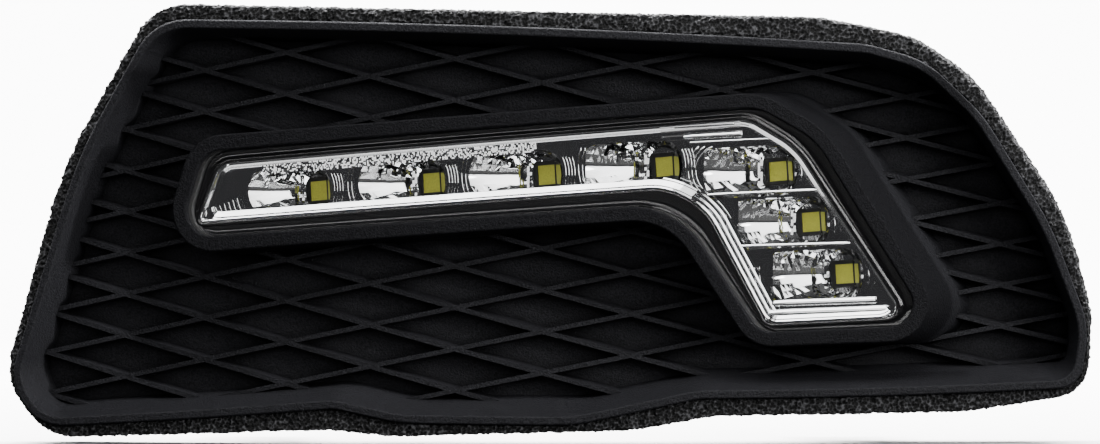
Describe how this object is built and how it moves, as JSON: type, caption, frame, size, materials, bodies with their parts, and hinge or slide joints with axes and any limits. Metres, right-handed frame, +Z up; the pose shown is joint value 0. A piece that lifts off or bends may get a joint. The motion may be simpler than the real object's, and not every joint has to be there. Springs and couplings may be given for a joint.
{
  "type": "daytime running light",
  "caption": "Daytime running light: a bent chrome reflector lamp behind a clear lens, set in a raised collar of a black diamond-ribbed grille insert with a foam edge strip.",
  "frame": {"origin": "middle of the end plane of the four rear posts", "axes": "+X along the face to the outboard end, +Y in from the face to the car, +Z up"},
  "size_m": [0.3321, 0.052, 0.132],
  "materials": {
    "insert_black": "fine grained",
    "foam_black": "open-cell foam",
    "lens_clear": "clear gloss",
    "seal_black": "satin",
    "frame_gloss": "gloss",
    "reflector_chrome": "mirror bright",
    "housing_black": "satin",
    "sink_cast": "as cast",
    "screw_steel": "zinc plated",
    "board_white": "solder mask",
    "board_green": "solder mask",
    "led_dark": "satin",
    "phosphor_yellow": "matt",
    "component_black": "satin",
    "coil_dark": "satin",
    "capacitor_silver": "bright",
    "gasket_rubber": "matt",
    "pin_brass": "tinned",
    "vent_plastic": "satin"
  },
  "bodies": {
    "root": {"grille_insert": "insert_black", "foam_seal": "foam_black", "lens": "lens_clear", "lens_seal": "seal_black", "inner_frame": "frame_gloss", "reflector": "reflector_chrome", "lamp_housing": "housing_black", "heat_sink": "sink_cast", "board_screws": "screw_steel", "lamp_screws": "screw_steel", "vent_plug": "vent_plastic", "inlet_gasket": "gasket_rubber", "inlet_socket": "component_black", "inlet_pins": "pin_brass", "driver_board": "board_green", "driver_screws": "screw_steel", "driver_coil": "coil_dark", "driver_capacitor": "capacitor_silver", "driver_chip": "component_black", "driver_diode": "component_black", "led_board_1": "board_white", "led_body_1": "led_dark", "led_phosphor_1": "phosphor_yellow", "led_board_2": "board_white", "led_body_2": "led_dark", "led_phosphor_2": "phosphor_yellow", "led_board_3": "board_white", "led_body_3": "led_dark", "led_phosphor_3": "phosphor_yellow", "led_board_4": "board_white", "led_body_4": "led_dark", "led_phosphor_4": "phosphor_yellow", "led_board_5": "board_white", "led_body_5": "led_dark", "led_phosphor_5": "phosphor_yellow", "led_board_6": "board_white", "led_body_6": "led_dark", "led_phosphor_6": "phosphor_yellow", "led_board_7": "board_white", "led_body_7": "led_dark", "led_phosphor_7": "phosphor_yellow"}
  },
  "joints": []
}
